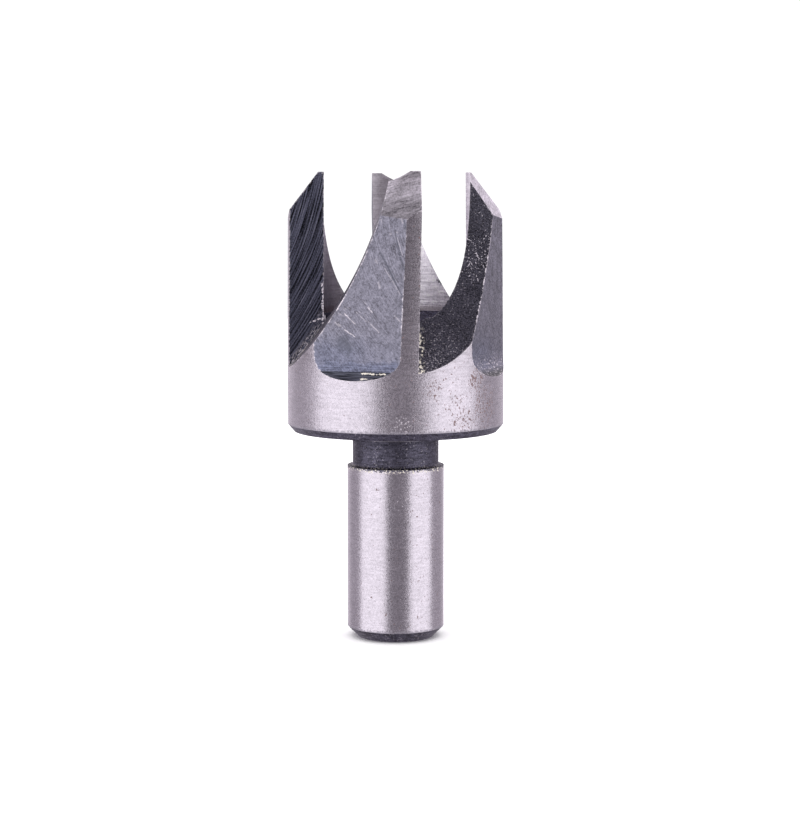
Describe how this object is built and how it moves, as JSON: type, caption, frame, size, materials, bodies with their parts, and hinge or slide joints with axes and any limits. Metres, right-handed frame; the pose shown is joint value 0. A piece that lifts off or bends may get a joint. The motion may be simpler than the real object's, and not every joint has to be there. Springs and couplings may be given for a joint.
{
  "type": "plug cutter",
  "caption": "Claw-type plug cutter: one hollow ground steel head with sharpened claws on a plain round shank, for cutting wooden plugs in a drill press.",
  "frame": {"origin": "middle of the shank's flat end face", "axes": "+Z along the tool from the shank to the tips of the claws; the front claw lies towards -Y and its leading face looks along +X"},
  "size_m": [0.0222, 0.0222, 0.048],
  "materials": {
    "tool_steel": "ground satin steel, with dark heat-treated slot walls, neck and chamfers, light scratches and a few specks of rust"
  },
  "bodies": {
    "root": {"cutter_body": "tool_steel"}
  },
  "joints": []
}
